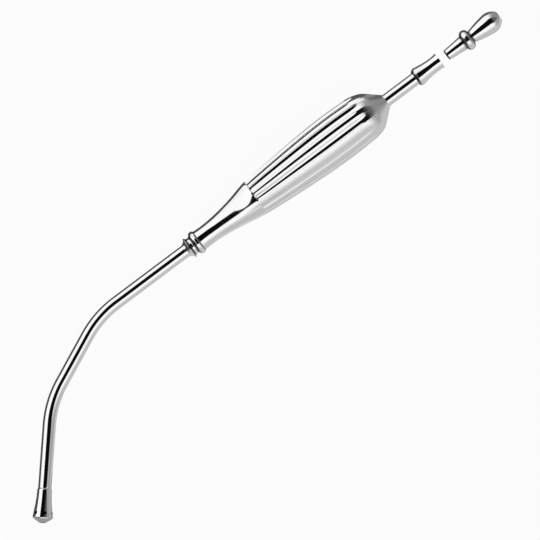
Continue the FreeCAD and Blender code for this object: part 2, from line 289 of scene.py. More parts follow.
def shapeTree(name, inputs):
    # A tree with a geometry in and out, one named input for each size, and the material last
    tree = bpy.data.node_groups.new(name, "GeometryNodeTree")
    tree.interface.new_socket("Geometry", in_out="OUTPUT", socket_type="NodeSocketGeometry")
    tree.interface.new_socket("Geometry", in_out="INPUT", socket_type="NodeSocketGeometry")
    for label, value in inputs.items():
        kind = "NodeSocketInt" if isinstance(value, int) else "NodeSocketFloat"
        tree.interface.new_socket(label, in_out="INPUT", socket_type=kind).default_value = value
    tree.interface.new_socket("Material", in_out="INPUT", socket_type="NodeSocketMaterial")
    return tree, addNode(tree, "NodeGroupInput").outputs, addNode(tree, "NodeGroupOutput")


def endTree(tree, geometry, material, groupOut):
    whole = addNode(tree, "GeometryNodeRealizeInstances", {"Geometry": geometry}).outputs[0]
    dressed = addNode(tree, "GeometryNodeSetMaterial", {"Geometry": whole, "Material": material})
    tree.links.new(dressed.outputs[0], groupOut.inputs[0])


def runTree(piece, tree, values, material):
    modifier = piece.modifiers.new("shape", "NODES")
    modifier.node_group = tree
    sockets = {item.name: item.identifier for item in tree.interface.items_tree if item.in_out == "INPUT"}
    for label, value in values.items():
        modifier[sockets[label]] = value
    modifier[sockets["Material"]] = material
    bpy.context.view_layer.update()
    made = bpy.data.meshes.new_from_object(piece.evaluated_get(bpy.context.evaluated_depsgraph_get()))
    piece.modifiers.clear()
    piece.data = made


# Steel: groups shared by all the pieces, then one material for each
def effectGroup(name, inputs, outputs):
    group = bpy.data.node_groups.new(name, "ShaderNodeTree")
    for label, (kind, value) in inputs.items():
        socket = group.interface.new_socket(label, in_out="INPUT", socket_type=kind)
        if value is not None:
            socket.default_value = value
    for label, kind in outputs.items():
        group.interface.new_socket(label, in_out="OUTPUT", socket_type=kind)
    return group, addNode(group, "NodeGroupInput").outputs, addNode(group, "NodeGroupOutput").inputs


floatKind, vectorKind = "NodeSocketFloat", "NodeSocketVector"


def makePolishGroup():
    # Fine lines left by the polishing mop, at two scales, along or round a piece
    group, given, out = effectGroup("polishLines", {
        "Vector": (vectorKind, None), "Spacing": (floatKind, 0.3), "Stretch": (floatKind, 40.0),
        "Strength": (floatKind, 1.0),
    }, {"Height": floatKind, "Lines": floatKind})
    parts = addNode(group, "ShaderNodeSeparateXYZ", {0: given["Vector"]}).outputs
    across = calc(group, "DIVIDE", parts[0], given["Spacing"])
    reach = calc(group, "MULTIPLY", given["Spacing"], given["Stretch"])
    around = calc(group, "DIVIDE", parts[1], reach)
    above = calc(group, "DIVIDE", parts[2], reach)
    place = addNode(group, "ShaderNodeCombineXYZ", {0: across, 1: around, 2: above}).outputs[0]
    wide = addNode(group, "ShaderNodeTexNoise", {"Vector": place, "Scale": 1.0, "Detail": 2.0}).outputs[0]
    fine = addNode(group, "ShaderNodeTexNoise", {"Vector": place, "Scale": 4.3, "Detail": 3.0}).outputs[0]
    both = calc(group, "MULTIPLY_ADD", fine, 0.45, calc(group, "MULTIPLY", wide, 0.55))
    group.links.new(calc(group, "MULTIPLY", both, given["Strength"]), out["Height"])
    group.links.new(rampOf(group, both, 0.52, 0.7), out["Lines"])
    return group


def makeHandlingGroup():
    # A faint bloom from wiping and handling: soft patches, with small dried specks in them
    group, given, out = effectGroup("handlingBloom", {
        "Vector": (vectorKind, None), "Patch Size": (floatKind, 14.0), "Speck Size": (floatKind, 1.1),
        "Amount": (floatKind, 0.5),
    }, {"Bloom": floatKind, "Specks": floatKind})
    patchPlace = scaled(group, given["Vector"], calc(group, "DIVIDE", 1.0, given["Patch Size"]))
    speckPlace = scaled(group, given["Vector"], calc(group, "DIVIDE", 1.0, given["Speck Size"]))
    patches = addNode(group, "ShaderNodeTexNoise", {
        "Vector": patchPlace, "Scale": 1.0, "Detail": 4.0, "Distortion": 0.6,
    }).outputs[0]
    cells = addNode(group, "ShaderNodeTexVoronoi", {"Vector": speckPlace, "Scale": 1.0}).outputs[0]
    bloom = calc(group, "MULTIPLY", rampOf(group, patches, 0.42, 0.72), given["Amount"])
    specks = calc(group, "MULTIPLY", rampOf(group, cells, 0.16, 0.08), bloom)
    group.links.new(bloom, out["Bloom"])
    group.links.new(specks, out["Specks"])
    return group


def makeWearGroup():
    # Corners that cloths and trays have rubbed brighter and duller, broken up by a noise
    group, given, out = effectGroup("edgeWear", {
        "Vector": (vectorKind, None), "Edge": (floatKind, 0.0), "Grain": (floatKind, 1.5),
    }, {"Worn": floatKind})
    place = scaled(group, given["Vector"], calc(group, "DIVIDE", 1.0, given["Grain"]))
    broken = addNode(group, "ShaderNodeTexNoise", {"Vector": place, "Scale": 1.0, "Detail": 3.0}).outputs[0]
    worn = calc(group, "MULTIPLY", given["Edge"], rampOf(group, broken, 0.35, 0.6, 0.35, 1.0))
    group.links.new(worn, out["Worn"])
    return group


polishGroup, handlingGroup, wearGroup = makePolishGroup(), makeHandlingGroup(), makeWearGroup()

steelLook = {
    "brightColour": (0.935, 0.935, 0.94, 1),
    "dullColour": (0.88, 0.88, 0.885, 1),
    "wornColour": (0.95, 0.95, 0.95, 1),
    # The next two set the dark colour and roughness of the painted shade in bores, hole walls and grooves
    "paintedShadeColour": (0.16, 0.16, 0.165, 1),
    "paintedShadeRoughness": 0.12,
    "bloomRoughness": 0.05,
    "wornRoughness": 0.12,
    "lineRoughness": 0.02,
    "speckRoughness": 0.12,
    "bumpDistance": 0.00005,
}


def steelMaterial(name, lineSpacing=0.25, lineStretch=40.0, lineBump=0.02, turned=True, bloom=0.5, polish=0.035,
                  softer=None, paintedShadeBands=()):
    # Lines run round a turned piece, or along a drawn one where turned is false
    material, tree = clearMaterial(name)
    spot = addNode(tree, "ShaderNodeTexCoord").outputs["Object"]
    moved = addNode(tree, "ShaderNodeVectorMath", {0: spot, 1: tuple(lieStart)}, operation="SUBTRACT").outputs[0]
    angles = lieTurn.transposed().to_euler("XYZ")
    mapping = {"Vector": moved, "Rotation": tuple(angles), "Scale": (1000, 1000, 1000)}
    own = addNode(tree, "ShaderNodeMapping", mapping).outputs[0]
    lined = own
    if not turned:
        lined = addNode(tree, "ShaderNodeMapping", {"Vector": own, "Rotation": (0, 0, math.pi / 2)}).outputs[0]
    lines = addNode(tree, "ShaderNodeGroup", node_tree=polishGroup)
    for label, value in (("Vector", lined), ("Spacing", lineSpacing), ("Stretch", lineStretch)):
        setOrLink(tree, lines.inputs[label], value)
    handled = addNode(tree, "ShaderNodeGroup", node_tree=handlingGroup)
    setOrLink(tree, handled.inputs["Vector"], own)
    setOrLink(tree, handled.inputs["Amount"], bloom)
    worn = addNode(tree, "ShaderNodeGroup", node_tree=wearGroup)
    setOrLink(tree, worn.inputs["Vector"], own)
    edge = addNode(tree, "ShaderNodeAttribute", attribute_name="edge").outputs["Fac"]
    setOrLink(tree, worn.inputs["Edge"], edge)
    metal = colourBlend(tree, handled.outputs["Bloom"], steelLook["brightColour"], steelLook["dullColour"])
    metal = colourBlend(tree, worn.outputs["Worn"], metal, steelLook["wornColour"])
    rough = calc(tree, "MULTIPLY_ADD", handled.outputs["Bloom"], steelLook["bloomRoughness"], polish)
    along = addNode(tree, "ShaderNodeSeparateXYZ", {0: own}).outputs[0]
    if softer:
        start, end, more = softer
        rough = calc(tree, "MULTIPLY_ADD", rampOf(tree, along, start, end), more, rough)
    # Painted shade darkens the bores, the hole walls and the bands at the foot of a step, and makes them rougher
    marks = [addNode(tree, "ShaderNodeAttribute", attribute_name=mark) for mark in ("inner", "bored")]
    paintedShadeMasks = [mark.outputs["Fac"] for mark in marks]
    for start, end in paintedShadeBands:
        reach = (end - start) / 3
        fadeOut = rampOf(tree, along, end - reach, end, 1.0, 0.0)
        paintedShadeMasks.append(calc(tree, "MULTIPLY", rampOf(tree, along, start, start + reach), fadeOut))
    for shadeShare in paintedShadeMasks:
        metal = colourBlend(tree, shadeShare, metal, steelLook["paintedShadeColour"])
        rough = calc(tree, "MULTIPLY_ADD", shadeShare, steelLook["paintedShadeRoughness"], rough)
    rough = calc(tree, "MULTIPLY_ADD", lines.outputs["Lines"], steelLook["lineRoughness"], rough)
    rough = calc(tree, "MULTIPLY_ADD", handled.outputs["Specks"], steelLook["speckRoughness"], rough)
    rough = calc(tree, "MULTIPLY_ADD", worn.outputs["Worn"], steelLook["wornRoughness"], rough)
    bump = addNode(tree, "ShaderNodeBump", {
        "Height": lines.outputs["Height"], "Strength": lineBump, "Distance": steelLook["bumpDistance"],
    })
    shader = addNode(tree, "ShaderNodeBsdfPrincipled", {
        "Base Color": metal, "Metallic": 1.0, "Roughness": rough, "Normal": bump.outputs[0],
    })
    output = addNode(tree, "ShaderNodeOutputMaterial")
    tree.links.new(shader.outputs[0], output.inputs[0])
    return material


print("steel ready")


# Suction tube: drawn straight, given its thread, then bent along its centre line
tubeSizes = {
    "radius": 3.0, "bore": 2.1, "rear": 132.7, "firstCorner": -49.2, "betweenCorners": 44.1, "lastRun": 38.8,
    "firstTurn": 24.5, "secondTurn": 24.8, "bendRadius": 46.0, "spigotRadius": 2.6, "spigotLength": 4.6,
    "threadPitch": 0.7, "threadDepth": 0.22, "corner": 0.12, "spacing": 1.1, "boreSpacing": 3.0,
    "threadSpacing": 0.07, "columns": 112,
}


def centreLine(sizes):
    # Straight runs and arcs as (length, turn in radians), from the tube's rear end to its tip joint
    turns = [math.radians(sizes["firstTurn"]), math.radians(sizes["secondTurn"])]
    cuts = [sizes["bendRadius"] * math.tan(turn / 2) for turn in turns]
    bends = [sizes["bendRadius"] * turn for turn in turns]
    return [
        (sizes["rear"] - sizes["firstCorner"] - cuts[0], 0.0),
        (bends[0], turns[0]),
        (sizes["betweenCorners"] - cuts[0] - cuts[1], 0.0),
        (bends[1], turns[1]),
        (sizes["lastRun"] - cuts[1], 0.0),
    ]


def bentAlong(places, sizes):
    # The local x is the way along the line, y lies to the outer side of the bends and z is up
    along = places[:, 0]
    x, y, turned = np.full(len(along), sizes["rear"]), np.zeros(len(along)), np.zeros(len(along))
    done = 0.0
    runs = centreLine(sizes)
    for number, (length, turn) in enumerate(runs):
        last = number == len(runs) - 1
        part = np.clip(along - done, 0 if number else None, None if last else length)
        if turn:
            bend = part / length * turn
            radius = length / turn
            x -= radius * (np.sin(turned + bend) - np.sin(turned))
            y -= radius * (np.cos(turned) - np.cos(turned + bend))
            turned = turned + bend
        else:
            x -= part * np.cos(turned)
            y -= part * np.sin(turned)
        done += length
    side = places[:, 1]
    return np.stack([x + side * np.sin(turned), y - side * np.cos(turned), places[:, 2]], axis=1)


def makeThreadTree():
    # Cuts a helical thread into a turned surface between two places on its axis
    tree, given, out = shapeTree("threadTree", {
        "Pitch": 0.7, "Depth": 0.2, "From": 0.0, "To": 4.0, "Inner Radius": 0.0, "Outer Radius": 3.0, "Fade": 0.5,
    })
    place = addNode(tree, "GeometryNodeInputPosition").outputs[0]
    x, y, z = addNode(tree, "ShaderNodeSeparateXYZ", {0: place}).outputs
    radius = calc(tree, "SQRT", calc(tree, "MULTIPLY_ADD", y, y, calc(tree, "MULTIPLY", z, z)))
    turn = calc(tree, "DIVIDE", calc(tree, "ARCTAN2", y, z), math.tau)
    step = calc(tree, "SUBTRACT", calc(tree, "DIVIDE", x, given["Pitch"]), turn)
    wave = calc(tree, "COSINE", calc(tree, "MULTIPLY", step, math.tau))
    crest = rampOf(tree, wave, -0.75, 0.75)
    inside = calc(tree, "GREATER_THAN", radius, given["Inner Radius"])
    inside = calc(tree, "MULTIPLY", inside, calc(tree, "LESS_THAN", radius, given["Outer Radius"]))
    start = calc(tree, "SUBTRACT", x, given["From"])
    end = calc(tree, "SUBTRACT", given["To"], x)
    span = calc(tree, "MULTIPLY", rampOf(tree, start, 0.0, given["Fade"]), rampOf(tree, end, 0.0, given["Fade"]))
    cut = calc(tree, "MULTIPLY", calc(tree, "MULTIPLY", inside, span), calc(tree, "SUBTRACT", crest, 1.0))
    share = calc(tree, "DIVIDE", calc(tree, "MULTIPLY", cut, given["Depth"]), radius)
    offset = scaled(tree, addNode(tree, "ShaderNodeCombineXYZ", {0: 0.0, 1: y, 2: z}).outputs[0], share)
    moved = addNode(tree, "GeometryNodeSetPosition", {"Geometry": given["Geometry"], "Offset": offset})
    endTree(tree, moved.outputs[0], given["Material"], out)
    return tree


threadTree = makeThreadTree()


def makeTube(sizes):
    length = sum(run for run, turn in centreLine(sizes))
    end = length + sizes["spigotLength"]
    radius, bore, spigot = sizes["radius"], sizes["bore"], sizes["spigotRadius"]
    outline = joined(
        straight((0, bore), (0, radius)),
        straight((0, radius), (length, radius), sizes["spacing"]),
        straight((length, radius), (length, spigot)),
        straight((length, spigot), (end, spigot), sizes["threadSpacing"]),
        straight((end, spigot), (end, bore)),
        straight((end, bore), (0, bore), sizes["boreSpacing"]),
    )
    piece = turnedPiece("tubeBent", outline, sizes)
    material = steelMaterial("steelDrawnTube", lineSpacing=0.5, turned=False, lineBump=0.012)
    runTree(piece, threadTree, {
        "Pitch": sizes["threadPitch"], "Depth": sizes["threadDepth"], "From": length + 0.25, "To": end - 0.1,
        "Inner Radius": (bore + spigot) / 2, "Outer Radius": spigot + 0.05,
    }, material)
    movePoints(piece.data, lambda places: bentAlong(places, sizes))
    return finishPiece(piece, material, "suction_tube", "instrument")


tube = makeTube(tubeSizes)


# Strainer tip: turned bulb, pierced by holes set round it, screwed on the spigot
tipSizes = {
    "length": 15.5, "lip": [(0.22, 3.2), (0.7, 3.31)], "waistAt": 4.0, "waistRadius": 3.45,
    "flareAt": 8.6, "flareRadius": 3.95,
    "rimAt": 12.9, "rimRadius": 4.65, "rimRounding": 0.4, "domeMiddleAt": 14.42, "domeMiddleRadius": 2.95,
    "wall": 0.8, "endHole": 1.05, "sideHole": 0.78, "sideHoleAt": 10.9, "sideHoles": 6, "boreRadius": 2.65,
    "boreLength": 4.7, "seatGap": 0.03, "corner": 0.12, "threadDepth": 0.16, "threadSpacing": 0.09,
    "holesTurned": 18.0, "paintedShadeReach": 0.85, "columns": 168,
}


def makeHoleTree():
    # Pierces a turned shell with a ring of round holes
    tree, given, out = shapeTree("holeRingTree", {
        "Holes": 6, "Hole Radius": 0.8, "Place": 10.0, "Reach": 6.0, "Sides": 40, "Turned": 0.0,
    })
    cutter = addNode(tree, "GeometryNodeMeshCylinder", {
        "Vertices": given["Sides"], "Side Segments": 1, "Radius": given["Hole Radius"], "Depth": given["Reach"],
    }).outputs["Mesh"]
    raised = addNode(tree, "ShaderNodeCombineXYZ", {2: calc(tree, "DIVIDE", given["Reach"], 2.0)}).outputs[0]
    cutter = addNode(tree, "GeometryNodeTransform", {"Geometry": cutter, "Translation": raised}).outputs[0]
    # The hole walls are marked, so that painted shade darkens them
    marks = {"Geometry": cutter, "Name": "bored", "Value": 1.0}
    cutter = addNode(tree, "GeometryNodeStoreNamedAttribute", marks, data_type="FLOAT", domain="FACE").outputs[0]
    spot = addNode(tree, "ShaderNodeCombineXYZ", {0: given["Place"]}).outputs[0]
    ring = addNode(tree, "GeometryNodePoints", {"Count": given["Holes"], "Position": spot}).outputs[0]
    number = addNode(tree, "GeometryNodeInputIndex").outputs[0]
    angle = calc(tree, "DIVIDE", calc(tree, "MULTIPLY", number, math.tau), given["Holes"])
    angle = calc(tree, "SUBTRACT", angle, given["Turned"])
    turn = addNode(tree, "ShaderNodeCombineXYZ", {0: angle}).outputs[0]
    cutters = addNode(tree, "GeometryNodeInstanceOnPoints", {"Points": ring, "Instance": cutter, "Rotation": turn})
    cutters = addNode(tree, "GeometryNodeRealizeInstances", {"Geometry": cutters.outputs[0]}).outputs[0]
    pierced = addNode(tree, "GeometryNodeMeshBoolean", operation="DIFFERENCE")
    tree.links.new(given["Geometry"], pierced.inputs["Mesh 1"])
    tree.links.new(cutters, pierced.inputs["Mesh 2"])
    endTree(tree, pierced.outputs[0], given["Material"], out)
    return tree


holeTree = makeHoleTree()


def makeTip(sizes):
    flare = [(sizes["waistAt"], sizes["waistRadius"]), (sizes["flareAt"], sizes["flareRadius"]),
             (sizes["rimAt"], sizes["rimRadius"])]
    chamber = [(sizes["rimAt"], sizes["rimRadius"] - sizes["wall"]),
               (sizes["flareAt"], sizes["flareRadius"] - sizes["wall"]), (sizes["boreLength"], tubeSizes["bore"])]
    domeStart = (sizes["rimAt"] + sizes["rimRounding"], sizes["rimRadius"] - sizes["rimRounding"] / 2)
    domeEnd = (sizes["length"], sizes["endHole"])
    roof = (sizes["length"] - sizes["wall"], sizes["endHole"])
    mouth, seat = (0, sizes["boreRadius"]), (sizes["boreLength"], sizes["boreRadius"])
    outline = joined(
        arcThrough((0, tubeSizes["radius"]), *sizes["lip"], 14),
        smoothThrough([sizes["lip"][1]] + flare, 80),
        straight(flare[-1], domeStart),
        arcThrough(domeStart, (sizes["domeMiddleAt"], sizes["domeMiddleRadius"]), domeEnd, 36),
        straight(domeEnd, roof),
        straight(roof, chamber[0]),
        smoothThrough(chamber, 26),
        straight(chamber[-1], seat),
        straight(seat, mouth, sizes["threadSpacing"]),
        straight(mouth, (0, tubeSizes["radius"])),
    )
    points, edge = softened(outline, sizes["corner"])
    # A ring of painted shade is laid round the end hole
    paintedShadeSpot = (domeEnd, sizes["paintedShadeReach"])
    mesh = turnedMesh("tipBulb", points, edge, evenAngles(sizes["columns"]), paintedShadeSpot)
    piece = newObject("tipBulb", mesh)
    material = steelMaterial("steelTurnedTip", lineSpacing=0.12, lineBump=0.02)
    runTree(piece, threadTree, {
        "Pitch": tubeSizes["threadPitch"], "Depth": -sizes["threadDepth"], "From": 0.5,
        "To": sizes["boreLength"] - 0.1, "Inner Radius": sizes["boreRadius"] - 0.05,
        "Outer Radius": sizes["boreRadius"] + 0.03,
    }, material)
    runTree(piece, holeTree, {
        "Holes": sizes["sideHoles"], "Hole Radius": sizes["sideHole"], "Place": sizes["sideHoleAt"],
        "Reach": sizes["rimRadius"] + 1, "Turned": math.radians(sizes["holesTurned"]),
    }, material)
    way = math.radians(tubeSizes["firstTurn"] + tubeSizes["secondTurn"])
    length = sum(run for run, turn in centreLine(tubeSizes))
    joint = bentAlong(np.array([[length + sizes["seatGap"], 0.0, 0.0]]), tubeSizes)[0]
    turn = Matrix.Rotation(math.pi + way, 4, "Z")
    piece.data.transform(Matrix.Translation(Vector(joint)) @ turn)
    return finishPiece(piece, material, "strainer_tip", "tip")


tip = makeTip(tipSizes)


# Front collar: a ferrule with a sharp flange, a groove behind it, and a spigot inside the neck
collarSizes = {
    "length": 4.7, "frontEdge": 3.19, "midAt": 1.3, "midRadius": 3.9, "flangeAt": 2.1, "flangeRadius": 5.2,
    "flangeLand": 0.2, "grooveAt": 3.6, "grooveRadius": 4.12, "jointRadius": 4.4, "spigotRadius": 3.76,
    "spigotEnd": 12.7, "bore": 3.04, "corner": 0.07, "columns": 192,
}


def makeCollar(sizes):
    face = [(0, sizes["frontEdge"]), (sizes["midAt"], sizes["midRadius"]),
            (sizes["flangeAt"], sizes["flangeRadius"])]
    land = (sizes["flangeAt"] + sizes["flangeLand"], sizes["flangeRadius"])
    joint = (sizes["length"], sizes["jointRadius"])
    spigot = [(sizes["length"], sizes["spigotRadius"]), (sizes["spigotEnd"], sizes["spigotRadius"])]
    bore = [(sizes["spigotEnd"], sizes["bore"]), (0, sizes["bore"])]
    outline = joined(
        smoothThrough(face, 40), straight(face[-1], land),
        arcThrough(land, (sizes["grooveAt"], sizes["grooveRadius"]), joint, 44),
        straight(joint, spigot[0]), straight(*spigot), straight(spigot[1], bore[0]), straight(*bore),
        straight(bore[1], face[0]),
    )
    # Painted shade darkens the groove behind the flange and the foot of the joint with the ring
    material = steelMaterial("steelTurnedCollar", lineSpacing=0.1, paintedShadeBands=[(2.1, 3.3), (4.1, 5.1)])
    return finishPiece(turnedPiece("collarFerrule", outline, sizes), material, "front_collar", "instrument")


collar = makeCollar(collarSizes)


# Neck ring: a round crest between the collar and the handle
ringSizes = {"start": 4.7, "end": 7.7, "crestAt": 6.2, "crestRadius": 5.7, "frontRadius": 4.4,
             "rearRadius": 4.95, "bore": 3.8, "corner": 0.06, "columns": 192}


def makeRing(sizes):
    front, rear = (sizes["start"], sizes["frontRadius"]), (sizes["end"], sizes["rearRadius"])
    outline = joined(
        arcThrough(front, (sizes["crestAt"], sizes["crestRadius"]), rear, 48),
        straight(rear, (sizes["end"], sizes["bore"])),
        straight((sizes["end"], sizes["bore"]), (sizes["start"], sizes["bore"])),
        straight((sizes["start"], sizes["bore"]), front),
    )
    # Painted shade darkens a band at each foot of the crest
    material = steelMaterial("steelTurnedRing", lineSpacing=0.1, paintedShadeBands=[(4.4, 5.5), (7.1, 8.1)])
    return finishPiece(turnedPiece("neckRing", outline, sizes), material, "neck_ring", "instrument")


ring = makeRing(ringSizes)


# Handle: a hollow drawn body; its flutes follow one rule, deep on the back and shallow on the belly
handleSizes = {
    "start": 7.7, "length": 97.4, "wall": 1.0, "neckBore": 3.8, "neckBoreEnd": 5.1, "registerDepth": 1.7,
    "belly": [(0, 4.95), (3.0, 4.8), (10.5, 5.15), (18.5, 6.2), (28.0, 7.98), (33.0, 8.76), (38.0, 9.26),
              (58.5, 10.78), (79.0, 11.47), (89.5, 11.12), (94.0, 10.65), (97.4, 9.5)],
    "corner": 0.06,
}
fluteSizes = {
    "Count": 22, "Back Count": 13, "Back Depth": 0.72, "Belly Depth": 0.26, "Back Rise": 0.5,
    "Rise Start": 20.0, "Rise Full": 33.0, "Border Delay": 1.0, "Flute Start": 31.2, "Flute Full": 32.5,
    "Fade Start": 88.0, "Fade End": 97.0, "Body End": 97.4, "Ridge Softness": 0.16,
}
# Where the columns of the mesh lie across one flute, from ridge to ridge
fluteSteps = [0, 0.014, 0.035, 0.068, 0.12, 0.195, 0.29, 0.395,
              0.5, 0.605, 0.71, 0.805, 0.88, 0.932, 0.965, 0.986]
fluteLook = {"bow": 1.25, "blurShare": 0.8, "blurSteps": 3, "ridgeWear": 0.6}


def makeFluteTree():
    tree, given, out = shapeTree("fluteTree", fluteSizes)

    def do(operation, *values):
        return calc(tree, operation, *values)

    place = addNode(tree, "GeometryNodeInputPosition").outputs[0]
    x, y, z = addNode(tree, "ShaderNodeSeparateXYZ", {0: place}).outputs
    base = do("SQRT", do("MULTIPLY_ADD", y, y, do("MULTIPLY", z, z)))
    pitch = do("DIVIDE", math.tau, given["Count"])
    first = do("SUBTRACT", math.pi / 2, do("MULTIPLY", pitch, do("DIVIDE", given["Back Count"], 2.0)))
    steps = do("DIVIDE", do("SUBTRACT", do("ARCTAN2", y, z), first), pitch)
    steps = do("WRAP", do("ADD", steps, 0.0001), given["Count"], 0.0)
    number = do("FLOOR", steps)
    isBack = do("LESS_THAN", number, do("SUBTRACT", given["Back Count"], 0.5))
    isLast = do("GREATER_THAN", number, do("SUBTRACT", given["Count"], 1.5))
    isBorder = do("ADD", do("COMPARE", number, given["Back Count"], 0.5), isLast)
    isBelly = do("SUBTRACT", do("SUBTRACT", 1.0, isBack), isBorder)
    fullness = do("MULTIPLY", rampOf(tree, x, given["Flute Start"], given["Flute Full"]),
                  rampOf(tree, x, given["Fade Start"], given["Fade End"], 1.0, 0.0))
    depth = do("MULTIPLY_ADD", isBack, given["Back Depth"], do("MULTIPLY", isBelly, given["Belly Depth"]))
    depth = do("MULTIPLY", depth, fullness)
    # The ridges of the back stand proud of the belly; its two outermost ridges rise further back
    late = do("SUBTRACT", x, given["Border Delay"])
    sinks = do("MULTIPLY", rampOf(tree, x, given["Fade Start"], given["Body End"], 1.0, 0.0), given["Back Rise"])
    rise = do("MULTIPLY", rampOf(tree, x, given["Rise Start"], given["Rise Full"]), sinks)
    lateRise = do("MULTIPLY", rampOf(tree, late, given["Rise Start"], given["Rise Full"]), sinks)
    lastBack = do("COMPARE", number, do("SUBTRACT", given["Back Count"], 1.0), 0.5)
    startOuter = do("ADD", do("LESS_THAN", number, 0.5), do("COMPARE", number, given["Back Count"], 0.5))
    startInner = do("SUBTRACT", isBack, do("LESS_THAN", number, 0.5))
    startRadius = do("MULTIPLY_ADD", rise, startInner, do("MULTIPLY_ADD", lateRise, startOuter, base))
    endInner, endOuter = do("SUBTRACT", isBack, lastBack), do("ADD", isLast, lastBack)
    endRadius = do("MULTIPLY_ADD", rise, endInner, do("MULTIPLY_ADD", lateRise, endOuter, base))
    mean = do("DIVIDE", do("ADD", startRadius, endRadius), 2.0)
    halfPitch = do("DIVIDE", pitch, 2.0)
    chord = do("MULTIPLY", mean, do("COSINE", halfPitch))
    sag = do("SUBTRACT", depth, do("SUBTRACT", mean, chord))
    fromMiddle = do("MULTIPLY", do("SUBTRACT", do("FRACT", steps), 0.5), pitch)
    across = do("DIVIDE", do("TANGENT", fromMiddle), do("TANGENT", halfPitch))
    squared = do("MULTIPLY", across, across)
    bow = do("DIVIDE", sag, do("MULTIPLY", mean, do("SINE", halfPitch)))
    bow = do("MULTIPLY", do("MULTIPLY", bow, bow), fluteLook["bow"])
    hollow = do("MULTIPLY", do("SUBTRACT", 1.0, squared), do("MULTIPLY_ADD", bow, squared, 1.0))
    slope = do("MULTIPLY", do("DIVIDE", do("SUBTRACT", endRadius, startRadius), 2.0), across)
    line = do("DIVIDE", do("MULTIPLY_ADD", slope, do("COSINE", halfPitch), chord), do("COSINE", fromMiddle))
    radius = do("SUBTRACT", line, do("MULTIPLY", sag, hollow))
    # Soft ridges: the radius is averaged with its neighbours close to each ridge
    fromRidge = do("MULTIPLY", do("SUBTRACT", 1.0, do("ABSOLUTE", across)), do("MULTIPLY", halfPitch, mean))
    near = rampOf(tree, fromRidge, 0.0, given["Ridge Softness"], 1.0, 0.0)
    near = do("MULTIPLY", near, fluteLook["blurShare"])
    growth = do("SUBTRACT", radius, base)
    blurred = addNode(tree, "GeometryNodeBlurAttribute", {
        "Value": growth, "Iterations": fluteLook["blurSteps"], "Weight": near,
    }, data_type="FLOAT")
    outside = addNode(tree, "GeometryNodeInputNamedAttribute", {"Name": "outside"}, data_type="FLOAT").outputs[0]
    share = do("MULTIPLY", do("DIVIDE", blurred.outputs[0], base), outside)
    offset = scaled(tree, addNode(tree, "ShaderNodeCombineXYZ", {0: 0.0, 1: y, 2: z}).outputs[0], share)
    moved = addNode(tree, "GeometryNodeSetPosition", {"Geometry": given["Geometry"], "Offset": offset})
    ridge = do("MULTIPLY", do("MULTIPLY", near, fullness), do("MULTIPLY", outside, fluteLook["ridgeWear"]))
    kept = addNode(tree, "GeometryNodeInputNamedAttribute", {"Name": "edge"}, data_type="FLOAT").outputs[0]
    marked = addNode(tree, "GeometryNodeStoreNamedAttribute", {
        "Geometry": moved.outputs[0], "Name": "edge", "Value": do("MAXIMUM", kept, ridge),
    }, data_type="FLOAT", domain="POINT")
    endTree(tree, marked.outputs[0], given["Material"], out)
    return tree


def fluteAngles():
    pitch = math.tau / fluteSizes["Count"]
    first = math.pi / 2 - fluteSizes["Back Count"] * pitch / 2
    numbers = range(fluteSizes["Count"])
    return np.array([first + (number + step) * pitch for number in numbers for step in fluteSteps])


def bellyStations():
    # Closer rows where the outline turns or the flutes run in and out
    runs = [(0, 18, 26), (18, 28, 24), (28, 35, 34), (35, 86, 42), (86, 97.4, 50)]
    return np.concatenate([np.linspace(a, b, n, endpoint=False) for a, b, n in runs] + [[97.4]])


def makeHandle(sizes):
    curve = np.array(smoothThrough(sizes["belly"], 1400))
    length, wall = sizes["length"], sizes["wall"]
    stations = bellyStations()
    outer = list(zip(stations, np.interp(stations, curve[:, 0], curve[:, 1])))
    cavity = [(sizes["neckBoreEnd"], sizes["neckBore"])]
    cavity += [(x, r - wall) for x, r in sizes["belly"][2:-1]]
    seat = (length - sizes["registerDepth"], sizes["belly"][-1][1] - wall)
    inner = smoothThrough(cavity + [seat], 60)[::-1]
    outline = joined(
        outer,
        straight(outer[-1], (length, seat[1])),
        straight((length, seat[1]), seat),
        inner,
        straight(inner[-1], (0, sizes["neckBore"])),
        straight((0, sizes["neckBore"]), outer[0]),
    )
    points, edge = softened(outline, sizes["corner"], 40)
    mesh = turnedMesh("handleFluted", points, edge, fluteAngles())
    bodyOutline = np.interp([p[0] for p in points], curve[:, 0], curve[:, 1])
    isOuter = [abs(p[1] - r) < 0.02 and 0.2 < p[0] < length - 0.2 for p, r in zip(points, bodyOutline)]
    outside = mesh.attributes.new("outside", "FLOAT", "POINT")
    outside.data.foreach_set("value", np.repeat(np.array(isOuter, np.float32), len(fluteAngles())))
    piece = newObject("handleFluted", mesh)
    material = steelMaterial("steelHandle", lineSpacing=0.6, turned=False, lineBump=0.006, bloom=0.6, polish=0.06,
                             softer=(96.0, 105.0, 0.16))
    runTree(piece, makeFluteTree(), fluteSizes, material)
    piece.data.transform(Matrix.Translation((sizes["start"], 0, 0)))
    return finishPiece(piece, material, "handle_body", "instrument", 60)


handle = makeHandle(handleSizes)


# End cone: closes the rear of the handle and is brazed round the tube
coneSizes = {
    "start": 105.1, "length": 7.6, "rim": 9.5, "shoulderAt": 1.9, "shoulderRadius": 8.1, "shoulderBulge": 0.06,
    "lipRadius": 3.4, "lipLength": 0.35, "wall": 1.2, "registerRadius": 8.46, "registerLength": 1.6,
    "bore": 3.04, "corner": 0.08, "columns": 224,
}


